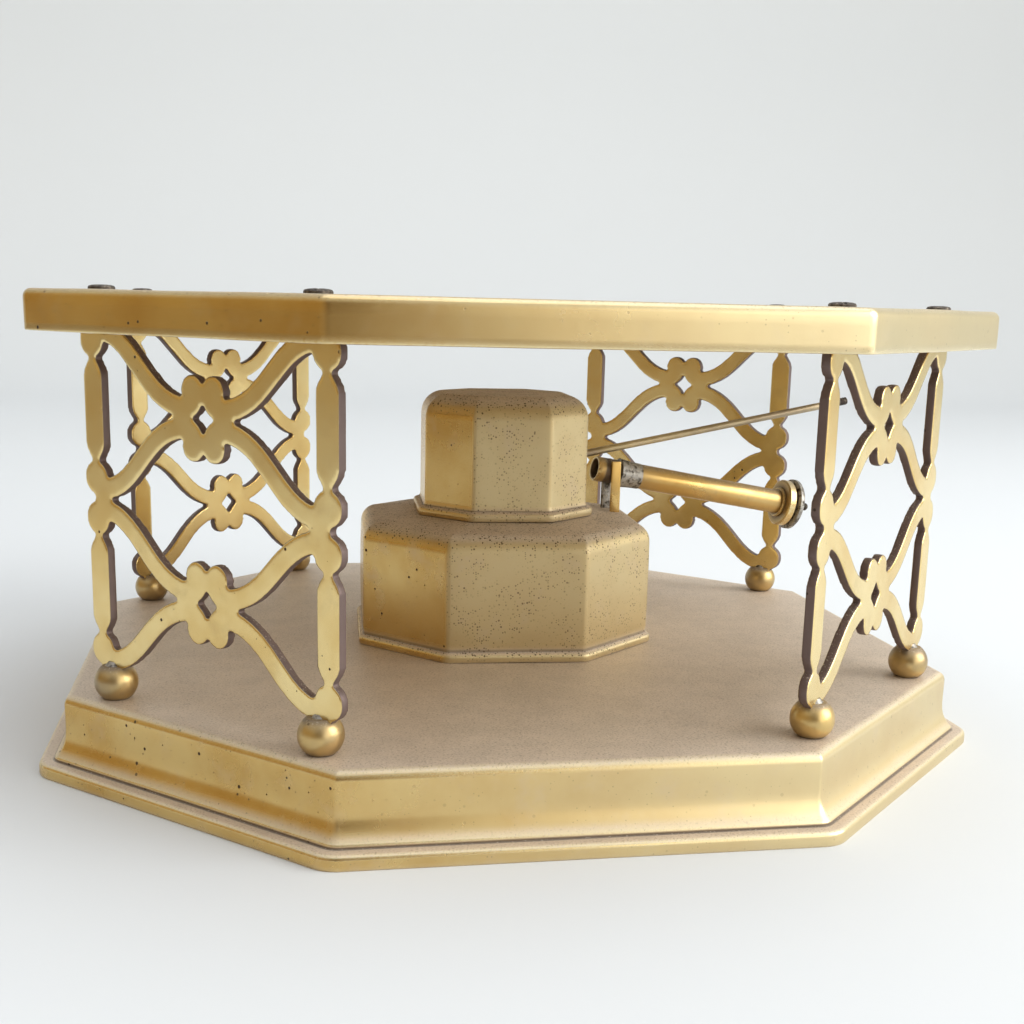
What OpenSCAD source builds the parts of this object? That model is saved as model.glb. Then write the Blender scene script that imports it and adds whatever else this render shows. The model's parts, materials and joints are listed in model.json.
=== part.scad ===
// Brass table stand with a spirit burner.
//
// An octagonal pressed base carries four cast fretwork panels on ball feet, and the panels carry
// an octagonal top plate with a turned-down skirt. A loose burner stands inside: an octagonal
// reservoir with a wick tube, a snuffer cap with a lifting rod, and a hollow handle on a bracket.
// The origin is the centre of the underside. +X points along the handle's side, -Y is the front.

/* [Base] */
// Width of the base wall, flat to flat
base_w = 236.8; // [190:0.5:300]
// Height of the base, floor to top
base_h = 19.9; // [15:0.1:32]
// Height of the rim at the foot of the base
rim_h = 3.6; // [2.5:0.1:5]
// How far the rim stands out from the wall
rim_out = 6.7; // [4.5:0.1:9]
// Thickness of the base's sheet
base_sheet = 1.4; // [1:0.1:2]
// Radius of the base's upper edge
base_edge_r = 2.4; // [1.5:0.1:4]

/* [Panels] */
// Width of a panel over the centres of its uprights
panel_w = 74.4; // [66:0.2:90]
// Height from one crossing of the fretwork to the next
crossing_pitch = 42.5; // [36:0.5:52]
// Thickness of the panels
panel_t = 2.4; // [1.6:0.1:4]
// Width of the curved arms
arm_w = 5; // [4:0.1:5.6]
// Width of the long beads of the uprights
bead_w = 6.6; // [5:0.1:7.6]
// Distance from the panels to the edge of the base or of the top, whichever is smaller
panel_inset = 7.5; // [7:0.1:14]
// Diameter of the ball feet
ball_d = 10.6; // [8:0.1:12]
// Height of the ball feet
ball_h = 8.3; // [7:0.1:9]

/* [Top] */
// Width of the top plate, flat to flat
top_w = 246.6; // [240:0.5:300]
// Height of the top plate's skirt
skirt_h = 9.7; // [7:0.1:16]
// Thickness of the top plate's sheet
top_sheet = 1.3; // [1:0.1:2]
// Radius of the top plate's upper edge
top_edge_r = 2; // [1.4:0.1:4]

/* [Screws] */
// Diameter of the screws' shanks
screw_d = 3; // [2:0.1:4]
// Diameter of the screws' heads
screw_head_d = 6.2; // [5:0.1:8]
// Height of the screws' heads
screw_head_h = 1.1; // [0.8:0.1:2]

/* [Reservoir] */
// Width of the reservoir, flat to flat
tank_w = 84.2; // [70:0.5:90]
// Height of the reservoir's wall
tank_wall_h = 30.2; // [24:0.2:36]
// Height from the burner's underside to the seat of the cap
tank_h = 36.7; // [33:0.1:45]
// Radius of the reservoir's shoulder
tank_shoulder_r = 5.4; // [3:0.1:6.5]
// Thickness of the reservoir's sheet
tank_sheet = 1; // [0.7:0.1:1.5]
// Turn of the burner on the base
burner_turn = -3.1; // [-6:0.1:6]
// Place of the burner across the base
burner_x = 2.2; // [-10:0.1:10]
// Place of the burner from front to back
burner_y = 8.6; // [-10:0.1:10]

/* [Cap] */
// Width of the snuffer cap, flat to flat
cap_w = 48; // [42:0.2:54]
// Height of the snuffer cap
cap_h = 35.3; // [31:0.1:36]
// Radius of the cap's shoulder
cap_shoulder_r = 7; // [4:0.1:10]
// Thickness of the cap's sheet
cap_sheet = 1; // [0.7:0.1:1.5]
// Length of the lifting rod outside the cap
rod_l = 94.5; // [60:1:110]
// Diameter of the lifting rod
rod_d = 2.2; // [1.2:0.1:3]
// Height of the lifting rod's axis above the cap's lower edge, at the burner's axis
rod_z = 11.9; // [9:0.1:14]
// Rise of the lifting rod above level
rod_rise = 10.3; // [0:0.1:12]

/* [Handle] */
// Length of the handle tube
handle_l = 68; // [50:1:80]
// Outer diameter of the handle tube
handle_d = 7.5; // [5:0.1:8]
// Wall thickness of the handle tube
handle_wall = 0.8; // [0.5:0.1:1.2]
// Fall of the handle below level
handle_fall = 10.4; // [0:0.1:14]
// Height of the handle's inner end above the base
handle_z = 48.9; // [46:0.1:54]
// Direction of the handle and the rod, from the burner's own axis
handle_turn = 10.1; // [-20:0.1:20]
// Diameter of the disc at the handle's end
disc_d = 16; // [10:0.1:20]

/* [Wick] */
// Outer diameter of the wick tube
wick_tube_d = 12; // [8:0.1:16]
// Height of the wick tube above the cap's seat
wick_tube_rise = 15; // [8:0.5:20]

/* [Hidden] */
$fn = 48;
diagonal_ratio = 1.035;   // the octagons are this much wider across their diagonal sides
seat_gap = 0.05;          // clearance between pieces that rest on or in each other
over = 1;                 // how far a cutting shape runs past what it cuts

CORNERS = ["front_left", "front_right", "back_right", "back_left"];
CORNER_ANGLES = [225, 315, 45, 135];
SIDES = ["left", "right"];

// Fretwork, measured from a crossing's centre
lobe_r = 3.5;             // the four lobes round a crossing
lobe_x = 3.3;
lobe_y = 6.3;
knot_x = 8.2;             // the knot of the arms at a crossing, half its width and half its height
knot_y = 3.75;
arm_x = 5;                // where an arm leaves the knot
pierce = 4;               // half the width of the small hole at a crossing
pierce_bow = 5.6;         // centre distance of the arcs that bow the hole's sides
end_lobe_r = 4.1;         // the lobes where an arm meets an upright
end_lobe_y = 4.9;
web_in = 2.2;             // the web between those lobes, inward and outward of the upright's centre
web_out = 0.7;
neck_y = 9.7;             // the uprights' necks, above and below a meeting point
neck_w = 2.6;
bead_taper = 2.6;         // length of a bead's tapered end
inner_fillet = 0.5;       // radius of the fretwork's inner corners
foot_slot = 1.1;          // how deep a panel's foot sits in its ball
lug_w = 10;               // the tapped lugs under the top plate
lug_t = 7;
lug_h = 5.9;

panel_reach = min(base_w, top_w) / 2 * diagonal_ratio - panel_inset;
crossing_half = crossing_pitch / 2;
low_crossing = ball_h - foot_slot + crossing_half;
high_crossing = low_crossing + crossing_pitch;
lug_z = high_crossing + crossing_half - 0.5;
panel_top = lug_z + lug_h;
plate_z = base_h + panel_top;
stand_h = plate_z + top_sheet;
ball_x = panel_w / 2 - 3.2;
ball_hole_h = ball_h - 2;         // depth of the tapped hole in a ball
screw_hole_d = screw_d + 2 * seat_gap;
slot_w = 0.8;                     // width of the screws' slots

foot_h = 2.5;                     // the reservoir's foot rim
foot_out = 1.2;
wall_in = 0.6;                    // how much thicker the reservoir's wall is than its top sheet
collar_w = 4.5;                   // width of the collar's ring, round the wick tube
collar_h = 2.2;
collar_drop = 4;                  // how far the collar and the wick tube reach into the reservoir
wick_tube_drop = 12;
wick_tube_wall = 0.9;
collar_d = wick_tube_d + 2 * collar_w;
collar_neck_d = collar_d - 4;

cap_seat = tank_h + seat_gap;
rod_tip_l = 5;                    // the threaded end of the lifting rod
thread_pitch = 0.8;
bracket_t = tank_w / 2 - 6.7;     // where the bracket grips the handle, out from the burner's axis
handle_start = max(bracket_t - 5.6, cap_w / 2 + 2.5);   // the handle's inner end, likewise
strip_w = 3;                      // the bracket's strips
strip_t = 1;
strip_rise = 2.5;                 // how far they stand up beside the handle
strip_foot = 8;
solder_l = 7;
collar_l = 2.6;                   // the stepped collar and the disc at the handle's end
disc_t = 2.6;
disc_ledge = 2;
stud_l = 5.4;

// ---------- shapes that repeat ----------

// Points of an arc, from angle a to angle b
function arc(cx, cy, r, a, b, n = 6) =
    [for (i = [0 : n]) let (t = a + (b - a) * i / n) [cx + r * cos(t), cy + r * sin(t)]];

// An octagon with wide square sides: half is the distance from its centre to those
module octagon(half) {
    intersection() {
        square(2 * half, center = true);
        rotate(45) square(2 * half * diagonal_ratio, center = true);
    }
}

// The corner of an octagon between its sides k and k + 1, at a distance outside it
function octagon_corner(half, out, k) =
    let (a = 45 * k, b = 45 * (k + 1),
        near = (k % 2 == 0 ? half : half * diagonal_ratio) + out,
        far = (k % 2 == 0 ? half * diagonal_ratio : half) + out)
    [near * sin(b) - far * sin(a), far * cos(a) - near * cos(b)] / sin(45);

// A solid with an octagon at every height: the profile is [distance outside the octagon, height],
// from the bottom up
module octagon_body(half, profile) {
    last = len(profile) - 1;
    polyhedron(
        points = [for (p = profile) for (k = [0 : 7]) concat(octagon_corner(half, p[0], k), p[1])],
        faces = concat(
            [[for (k = [0 : 7]) k], [for (k = [7 : -1 : 0]) 8 * last + k]],
            [for (i = [0 : last - 1]) for (k = [0 : 7])
                let (next = (k + 1) % 8)
                [8 * i + k, 8 * (i + 1) + k, 8 * (i + 1) + next, 8 * i + next]]));
}

// A point on the seat of a panel's foot or lug: k is the corner, s is -1 or 1
module at_panel_end(k, s) {
    rotate(CORNER_ANGLES[k]) translate([panel_reach, s * ball_x, 0]) children();
}

// The burner's own frame, on top of the base
module on_base() {
    translate([burner_x, burner_y, base_h + seat_gap]) rotate(burner_turn) children();
}

// A shape along the handle: it starts at the handle's inner end and points outward
module along_handle() {
    rotate(handle_turn) translate([handle_start, 0, handle_z]) rotate([0, 90 + handle_fall, 0]) children();
}

// A shape along the lifting rod, from the burner's axis outward
module along_rod() {
    rotate(handle_turn) translate([0, 0, cap_seat + rod_z]) rotate([0, 90 - rod_rise, 0]) children();
}

// A flat-domed screw, head up, with the underside of its head at z = 0
module screw(length) {
    rim_h = screw_head_h * 0.6;
    difference() {
        union() {
            cylinder(h = rim_h, d = screw_head_d);
            translate([0, 0, rim_h])
                cylinder(h = screw_head_h - rim_h, d1 = screw_head_d, d2 = screw_head_d * 0.7);
            translate([0, 0, -length]) cylinder(h = length, d = screw_d);
        }
        translate([-screw_head_d, -slot_w / 2, screw_head_h * 0.5])
            cube([2 * screw_head_d, slot_w, screw_head_h]);
    }
}

// The holes for the screws of all eight feet or lugs, through a sheet whose underside is at z
module screw_holes(z, sheet) {
    for (k = [0 : 3]) for (s = [-1, 1])
        at_panel_end(k, s) translate([0, 0, z - over])
            cylinder(h = sheet + 2 * over, d = screw_hole_d);
}

// ---------- base ----------

module base_tray() {
    ledge = rim_out - 3.5;
    rim_r = 1.2;
    outer = concat(
        [[rim_out, 0]],
        arc(rim_out - rim_r, rim_h - rim_r, rim_r, 0, 80, 4),
        [[ledge, rim_h]],
        arc(rim_out, rim_h + 7, rim_out, 205, 180, 4),
        arc(-base_edge_r, base_h - base_edge_r, base_edge_r, 0, 90));
    inner = [
        [rim_out - base_sheet, -over],
        [rim_out - base_sheet, rim_h - base_sheet],
        [ledge - base_sheet, rim_h - base_sheet + 0.1],
        [-base_sheet, rim_h + 4],
        [-base_sheet, base_h - base_edge_r],
        [-base_edge_r, base_h - base_sheet]];
    color("darkgoldenrod") difference() {
        octagon_body(base_w / 2, outer);
        octagon_body(base_w / 2, inner);
        screw_holes(base_h - base_sheet, base_sheet);
    }
}

// A ball with a flat top and bottom, a tapped hole from below and a slot for the panel's foot
module ball(k, s) {
    color("gold") at_panel_end(k, s) difference() {
        intersection() {
            translate([0, 0, base_h + ball_h / 2]) sphere(d = ball_d);
            translate([0, 0, base_h]) cylinder(h = ball_h, d = ball_d + over);
        }
        translate([0, 0, base_h - over]) cylinder(h = ball_hole_h + over, d = screw_hole_d);
        translate([-panel_t / 2, -ball_d, base_h + ball_h - foot_slot])
            cube([panel_t, 2 * ball_d, foot_slot + over]);
    }
}

module base_screws() {
    color("dimgray") for (k = [0 : 3]) for (s = [-1, 1])
        at_panel_end(k, s) translate([0, 0, base_h - base_sheet]) rotate([180, 0, 0])
            screw(base_sheet + ball_hole_h - 0.5);
}

// ---------- fretwork panels ----------

// A curved arm as a ribbon of even width: it leaves the knot level and meets the upright level
module arm() {
    n = 14;
    a = [arm_x, arm_w / 2 - 0.3];
    d = [panel_w / 2 - 1.5, crossing_half - arm_w / 2 + 0.1];
    b = a + [d[0] * 0.42, 0.2];
    c = d - [d[0] * 0.38, 0.2];
    curve = function (t) (1 - t)^3 * a + 3 * (1 - t)^2 * t * b + 3 * (1 - t) * t^2 * c + t^3 * d;
    side = function (t, s)
        let (along = curve(min(t + 0.01, 1)) - curve(max(t - 0.01, 0)))
        curve(t) + s * arm_w / 2 * [-along[1], along[0]] / norm(along);
    polygon(concat(
        [for (i = [0 : n]) side(i / n, 1)],
        [for (i = [n : -1 : 0]) side(i / n, -1)]));
}

// One crossing: four arms, four lobes and the small pierced hole
module crossing() {
    difference() {
        union() {
            square([2 * knot_x, 2 * knot_y], center = true);
            for (mx = [0, 1]) for (my = [0, 1])
                mirror([mx, 0]) mirror([0, my]) {
                    arm();
                    translate([lobe_x, lobe_y]) circle(lobe_r);
                }
        }
        difference() {
            rotate(45) square(pierce * sqrt(2), center = true);
            for (a = [45 : 90 : 315])
                rotate(a) translate([pierce_bow * sqrt(2), 0])
                    circle(norm([pierce_bow, pierce_bow - pierce]));
        }
    }
}

// A long bead of an upright, between two necks
module bead() {
    half = crossing_half - neck_y;
    corner = [
        [neck_w / 2, half + 0.3],
        [bead_w / 2 - 0.5, half - bead_taper * 0.7],
        [bead_w / 2, half - bead_taper - 0.6]];
    back = [for (i = [2 : -1 : 0]) corner[i]];
    polygon(concat(
        corner,
        [for (p = back) [p[0], -p[1]]],
        [for (p = corner) -p],
        [for (p = back) [-p[0], p[1]]]));
}

// Where arms meet an upright: the two lobes and the web between them
module meeting(up, down) {
    short = 0.4;
    low = down ? end_lobe_y : short;
    high = up ? end_lobe_y : short;
    if (up) translate([0, end_lobe_y]) circle(end_lobe_r);
    if (down) translate([0, -end_lobe_y]) circle(end_lobe_r);
    translate([-web_in, -low]) square([web_in + web_out, low + high]);
}

module panel_outline() {
    x = panel_w / 2;
    for (y = [low_crossing, high_crossing]) translate([0, y]) crossing();
    for (m = [0, 1]) mirror([m, 0]) {
        for (y = [low_crossing, high_crossing]) translate([x, y]) bead();
        translate([x, low_crossing - crossing_half]) meeting(true, false);
        translate([x, low_crossing + crossing_half]) meeting(true, true);
        translate([x, high_crossing + crossing_half]) meeting(false, true);
        translate([ball_x - lug_w / 2, lug_z]) square([lug_w, lug_h]);
    }
}

// Everything below the panels' lowest meeting points is cut level, where the ball feet start
module panel(k) {
    foot_z = ball_h - foot_slot;
    color("goldenrod") rotate(CORNER_ANGLES[k]) difference() {
        union() {
            translate([panel_reach, 0, base_h]) rotate([90, 0, 90])
                linear_extrude(panel_t, center = true) intersection() {
                    offset(r = -inner_fillet, $fn = 24)
                        offset(delta = inner_fillet) panel_outline($fn = 36);
                    translate([-panel_w, foot_z]) square([2 * panel_w, panel_top - foot_z]);
                }
            for (s = [-1, 1])
                translate([panel_reach - lug_t / 2, s * ball_x - lug_w / 2, base_h + lug_z])
                    cube([lug_t, lug_w, lug_h]);
        }
        for (s = [-1, 1])
            translate([panel_reach, s * ball_x, base_h + lug_z + 0.8])
                cylinder(h = panel_top, d = screw_hole_d);
    }
}

// ---------- top ----------

module top_plate() {
    drop = skirt_h - top_sheet;
    outer = concat(
        [[0, -drop]],
        arc(-top_edge_r, top_sheet - top_edge_r, top_edge_r, 0, 90));
    inner = [[-top_sheet, -drop - over], [-top_sheet, 0]];
    color("goldenrod") translate([0, 0, plate_z]) difference() {
        octagon_body(top_w / 2, outer);
        octagon_body(top_w / 2, inner);
        screw_holes(0, top_sheet);
    }
}

module top_screws() {
    color("dimgray") for (k = [0 : 3]) for (s = [-1, 1])
        at_panel_end(k, s) translate([0, 0, stand_h]) screw(top_sheet + lug_h - 1.9);
}

// ---------- burner ----------

// The reservoir as a full block, from its foot to the seat of the cap
module tank_solid() {
    groove = [-0.5, foot_h + 0.2];
    octagon_body(tank_w / 2, concat(
        [[foot_out, 0], [foot_out, foot_h], groove, groove + [0, 0.7], [0, foot_h + 1.3]],
        arc(-tank_shoulder_r, tank_wall_h, tank_shoulder_r, 0, 80),
        [[cap_w / 2 - tank_w / 2, tank_h]]));
}

module reservoir_shell() {
    wall = tank_sheet + wall_in;
    color("darkkhaki") on_base() difference() {
        tank_solid();
        octagon_body(tank_w / 2, [
            [-wall, -over],
            [-wall, tank_wall_h],
            [-tank_shoulder_r - tank_sheet, tank_wall_h + tank_shoulder_r - wall],
            [cap_w / 2 - tank_w / 2, tank_h - tank_sheet]]);
        translate([0, 0, tank_h - tank_sheet - over])
            cylinder(h = tank_sheet + 2 * over, d = collar_neck_d);
    }
}

module reservoir_bottom() {
    color("darkkhaki") on_base() translate([0, 0, 0.6])
        linear_extrude(tank_sheet) octagon(tank_w / 2 - tank_sheet - wall_in - seat_gap);
}

module burner_collar() {
    neck_h = collar_drop + over;
    color("goldenrod") on_base() translate([0, 0, tank_h]) difference() {
        union() {
            cylinder(h = collar_h, d = collar_d);
            translate([0, 0, -collar_drop]) cylinder(h = neck_h, d = collar_neck_d - 2 * seat_gap);
        }
        translate([0, 0, -neck_h])
            cylinder(h = neck_h + collar_h + over, d = wick_tube_d + 2 * seat_gap);
    }
}

module wick_tube() {
    length = wick_tube_drop + wick_tube_rise;
    color("goldenrod") on_base() translate([0, 0, tank_h]) difference() {
        union() {
            translate([0, 0, -wick_tube_drop]) cylinder(h = length, d = wick_tube_d);
            translate([0, 0, collar_h]) cylinder(h = 1.2, d = wick_tube_d + 4);
        }
        translate([0, 0, -wick_tube_drop - over])
            cylinder(h = length + 2 * over, d = wick_tube_d - 2 * wick_tube_wall);
    }
}

// It hangs from above the tube's mouth to near the reservoir's floor
module wick() {
    low = 2;
    color("ivory") on_base() translate([0, 0, low])
        cylinder(h = tank_h + wick_tube_rise + 3.5 - low,
            d = wick_tube_d - 2 * wick_tube_wall - 2 * seat_gap);
}

// ---------- snuffer cap and its rod ----------

module snuffer_cap() {
    bead = 2;
    deep = cap_shoulder_r * 0.35;
    outer = concat(
        [[bead, 0], [bead, 1.6], [bead - 0.6, 2.1], [0.2, 2.3], [0, 3.2]],
        arc(-cap_shoulder_r, cap_h - cap_shoulder_r, cap_shoulder_r, 0, 86),
        [[-cap_shoulder_r - 4, cap_h]]);
    inner = [
        [-cap_sheet, -over],
        [-cap_sheet, cap_h - cap_shoulder_r],
        [-cap_sheet - deep, cap_h - cap_sheet - deep],
        [-cap_sheet - cap_shoulder_r, cap_h - cap_sheet]];
    color("darkkhaki") on_base() translate([0, 0, cap_seat]) difference() {
        octagon_body(cap_w / 2, outer);
        octagon_body(cap_w / 2, inner);
    }
}

// The cap's outside as a block, for what is soldered to its wall
module cap_block() {
    translate([0, 0, cap_seat]) linear_extrude(cap_h) octagon(cap_w / 2);
}

module rod_boss() {
    boss_d = 4.4;
    boss_l = 3;
    color("gray") on_base() difference() {
        along_rod() cylinder(h = cap_w / 2 + boss_l, d = boss_d);
        along_rod() cylinder(h = cap_w, d = rod_d);
        cap_block();
    }
}

module lifting_rod() {
    color("peru") on_base() difference() {
        along_rod() cylinder(h = cap_w / 2 + rod_l - rod_tip_l, d = rod_d);
        cap_block();
    }
}

// The thread as six rings: each turn is a ridge and a root
module rod_tip() {
    turn = thread_pitch / 2;
    color("dimgray") on_base() along_rod() translate([0, 0, cap_w / 2 + rod_l - rod_tip_l])
        for (i = [0 : 5]) translate([0, 0, i * thread_pitch]) {
            cylinder(h = turn, d = rod_d + 0.3);
            translate([0, 0, turn]) cylinder(h = turn, d = rod_d - 0.1);
        }
}

// ---------- handle ----------

module handle_tube() {
    color("goldenrod") on_base() along_handle() difference() {
        cylinder(h = handle_l, d = handle_d);
        translate([0, 0, -over]) cylinder(h = handle_l + 2 * over, d = handle_d - 2 * handle_wall);
    }
}

// One of the two strips that hold the handle, soldered to the reservoir's shoulder
module bracket(s) {
    y = s * (handle_d / 2 + strip_t / 2 - 0.3);
    color("goldenrod") on_base() difference() {
        rotate(handle_turn)
            translate([bracket_t - strip_w / 2, y - strip_t / 2, tank_h - strip_foot])
                cube([strip_w, strip_t, handle_z - tank_h + strip_foot + strip_rise]);
        along_handle() cylinder(h = handle_l, d = handle_d);
        tank_solid();
    }
}

// A sleeve of solder round the handle, starting just past the bracket
module handle_solder() {
    start = bracket_t - handle_start + strip_w / 2 + 0.6;
    reach = handle_z * 2;
    color("silver") on_base() difference() {
        along_handle() translate([0, 0, start]) difference() {
            cylinder(h = solder_l, d1 = handle_d + 1.2, d2 = handle_d + 0.3);
            translate([0, 0, -over]) cylinder(h = solder_l + 2 * over, d = handle_d);
        }
        rotate(handle_turn) translate([bracket_t - strip_w / 2, -reach / 2, 0])
            cube([strip_w, reach, reach]);
    }
}

module handle_collar() {
    step = 1;
    color("goldenrod") on_base() along_handle() translate([0, 0, handle_l - collar_l])
        difference() {
            union() {
                cylinder(h = collar_l, d = disc_d - 1.4);
                translate([0, 0, -step]) cylinder(h = step, d = handle_d + 2);
            }
            translate([0, 0, -step - over])
                cylinder(h = collar_l + step + 2 * over, d = handle_d);
        }
}

// A disc with a bevelled edge, on a smaller seat
module handle_disc() {
    r = disc_d / 2;
    bevel = 0.5;
    seat_h = 0.6;
    color("gray") on_base() along_handle() translate([0, 0, handle_l]) rotate_extrude()
        polygon([
            [0, 0],
            [r - disc_ledge, 0],
            [r - disc_ledge, seat_h],
            [r - bevel, seat_h],
            [r, seat_h + bevel],
            [r, disc_t - bevel],
            [r - bevel, disc_t],
            [0, disc_t]]);
}

module handle_stud() {
    color("dimgray") on_base() along_handle() translate([0, 0, handle_l + disc_t])
        cylinder(h = stud_l, d = 2.4);
}

// ---------- assembly ----------

base_tray();
top_plate();
base_screws();
top_screws();
for (k = [0 : 3]) {
    panel(k);
    for (i = [0, 1])
        ball(k, i == 0 ? 1 : -1);
}
reservoir_shell();
reservoir_bottom();
burner_collar();
wick_tube();
wick();
snuffer_cap();
rod_boss();
lifting_rod();
rod_tip();
handle_tube();
bracket(-1);  // bracket_front
bracket(1);  // bracket_back
handle_solder();
handle_collar();
handle_disc();
handle_stud();
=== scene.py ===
# %% [markdown]
# # Brass table stand with a spirit burner
#
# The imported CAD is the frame: it gives every position and size. This notebook replaces its shapes
# with worked ones (rounded sheet, cast fretwork, lathed fittings), paints them, and lights them as
# a small product on a pale sweep. Lengths are in metres; `MM` turns millimetres into metres.

# %% Setup
import json
import math

import bmesh
import bpy
import numpy as np
from mathutils import Matrix, Vector, noise


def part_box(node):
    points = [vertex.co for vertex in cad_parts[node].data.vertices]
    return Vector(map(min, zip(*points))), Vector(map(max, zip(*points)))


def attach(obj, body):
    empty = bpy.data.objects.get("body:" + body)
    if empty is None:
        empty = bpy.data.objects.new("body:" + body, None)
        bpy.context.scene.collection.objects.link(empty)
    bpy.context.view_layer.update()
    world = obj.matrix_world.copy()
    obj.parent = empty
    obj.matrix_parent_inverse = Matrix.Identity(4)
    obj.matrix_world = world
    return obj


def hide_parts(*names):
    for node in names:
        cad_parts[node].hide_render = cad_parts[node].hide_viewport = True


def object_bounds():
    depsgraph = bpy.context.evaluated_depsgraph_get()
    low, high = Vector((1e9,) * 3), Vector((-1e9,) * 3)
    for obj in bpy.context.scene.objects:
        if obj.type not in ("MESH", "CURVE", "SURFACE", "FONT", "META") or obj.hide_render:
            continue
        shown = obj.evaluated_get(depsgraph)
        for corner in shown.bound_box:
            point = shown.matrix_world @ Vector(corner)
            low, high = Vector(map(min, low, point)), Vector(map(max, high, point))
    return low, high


MM = 0.001
SEED = 7

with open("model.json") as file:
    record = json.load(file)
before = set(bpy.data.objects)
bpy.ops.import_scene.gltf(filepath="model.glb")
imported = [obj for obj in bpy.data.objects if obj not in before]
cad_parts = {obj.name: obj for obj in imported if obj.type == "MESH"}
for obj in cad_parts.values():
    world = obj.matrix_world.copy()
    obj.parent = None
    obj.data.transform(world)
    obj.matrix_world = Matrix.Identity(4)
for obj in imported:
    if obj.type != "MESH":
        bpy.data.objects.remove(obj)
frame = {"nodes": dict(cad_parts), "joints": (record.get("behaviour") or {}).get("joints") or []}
CAD_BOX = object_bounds()
nodes = frame["nodes"]
scene = bpy.context.scene
WIDTH = CAD_BOX[1].x - CAD_BOX[0].x
print("CAD box", [round(v / MM, 1) for v in (*CAD_BOX[0], *CAD_BOX[1])], "mm")

# %% [markdown]
# ## Measuring the frame
#
# The octagons and the round fittings are rebuilt from the CAD's own vertices: how far they reach in
# a direction, and where they start and end along an axis.

# %% Measuring


def points_of(node):
    """The CAD node's vertices at rest, as an array."""
    return np.array([v.co for v in nodes[node].data.vertices])


def direction(degrees):
    angle = math.radians(degrees)
    return Vector((math.cos(angle), math.sin(angle), 0))


def octagon_of(node, turn, low, high):
    """Centre, half width over the square sides and over the diagonal ones, between two heights."""
    co = points_of(node)
    low_corner, high_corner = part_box(node)
    centre = (low_corner + high_corner) / 2
    band = co[(co[:, 2] >= low) & (co[:, 2] <= high)] - np.array([centre.x, centre.y, 0])
    half = [float((band @ np.array(direction(turn + side))).max()) for side in (0, 45)]
    return Vector((centre.x, centre.y, 0)), half[0], half[1]


def axis_of(node):
    """Start and unit direction of a long round node, pointing away from the stand."""
    co = points_of(node)
    middle = co.mean(axis=0)
    along = np.linalg.svd(co - middle, full_matrices=False)[2][0]
    if along[0] < 0:
        along = -along
    reach = (co - middle) @ along
    return Vector(middle + along * reach.min()), Vector(along), float(reach.max() - reach.min())


def stretch_along(node, start, along):
    """Where a node starts and ends along an axis, and its greatest radius round it."""
    co = points_of(node) - np.array(start)
    reach = co @ np.array(along)
    radius = np.linalg.norm(co - np.outer(reach, np.array(along)), axis=1)
    return float(reach.min()), float(reach.max()), float(radius.max())


draw_axis = next(j for j in frame["joints"] if j["name"] == "burner_draw")["axis"]
BURNER_TURN = math.degrees(math.atan2(draw_axis[1], draw_axis[0]))
BASE_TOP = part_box("base_tray")[1].z
STAND_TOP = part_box("top_plate")[1].z
SKIRT_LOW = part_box("top_plate")[0].z
TANK_LOW, TANK_TOP = (corner.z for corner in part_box("reservoir_shell"))
CAP_LOW, CAP_TOP = (corner.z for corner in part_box("snuffer_cap"))
BASE = octagon_of("base_tray", 0, BASE_TOP * 0.6, BASE_TOP)
TOP = octagon_of("top_plate", 0, SKIRT_LOW, STAND_TOP)
TANK = octagon_of("reservoir_shell", BURNER_TURN, TANK_LOW + 8 * MM, TANK_LOW + 31 * MM)
CAP = octagon_of("snuffer_cap", BURNER_TURN, CAP_LOW + 8 * MM, CAP_TOP)
HANDLE_START, HANDLE_WAY, HANDLE_LENGTH = axis_of("handle_tube")
ROD_START, ROD_WAY, ROD_LENGTH = axis_of("lifting_rod")
print("burner turned", round(BURNER_TURN, 2), "degrees; handle", round(HANDLE_LENGTH / MM, 1), "mm")

# %% [markdown]
# ## Node graphs
#
# One small class builds both shader and geometry node trees. A `Wire` is an output socket that can
# be used in sums, so that masks read like formulas.

# %% Node graphs


class Wire:
    def __init__(self, graph, socket):
        self.graph = graph
        self.socket = socket

    def math(self, operation, *others):
        values = {i + 1: other for i, other in enumerate(others)}
        return self.graph.node("ShaderNodeMath", {"operation": operation}, {0: self, **values})

    def __add__(self, other):
        return self.math("ADD", other)

    def __radd__(self, other):
        return self.math("ADD", other)

    def __sub__(self, other):
        return self.math("SUBTRACT", other)

    def __rsub__(self, other):
        return self.graph.node("ShaderNodeMath", {"operation": "SUBTRACT"}, {0: other, 1: self})

    def __mul__(self, other):
        return self.math("MULTIPLY", other)

    def clamp(self):
        return self.graph.node("ShaderNodeClamp", {}, {"Value": self})

    def step(self, low, high):
        """0 below low, 1 above high, smooth in between."""
        return self.graph.node(
            "ShaderNodeMapRange",
            {"interpolation_type": "SMOOTHSTEP"},
            {"Value": self, "From Min": low, "From Max": high},
        )


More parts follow.
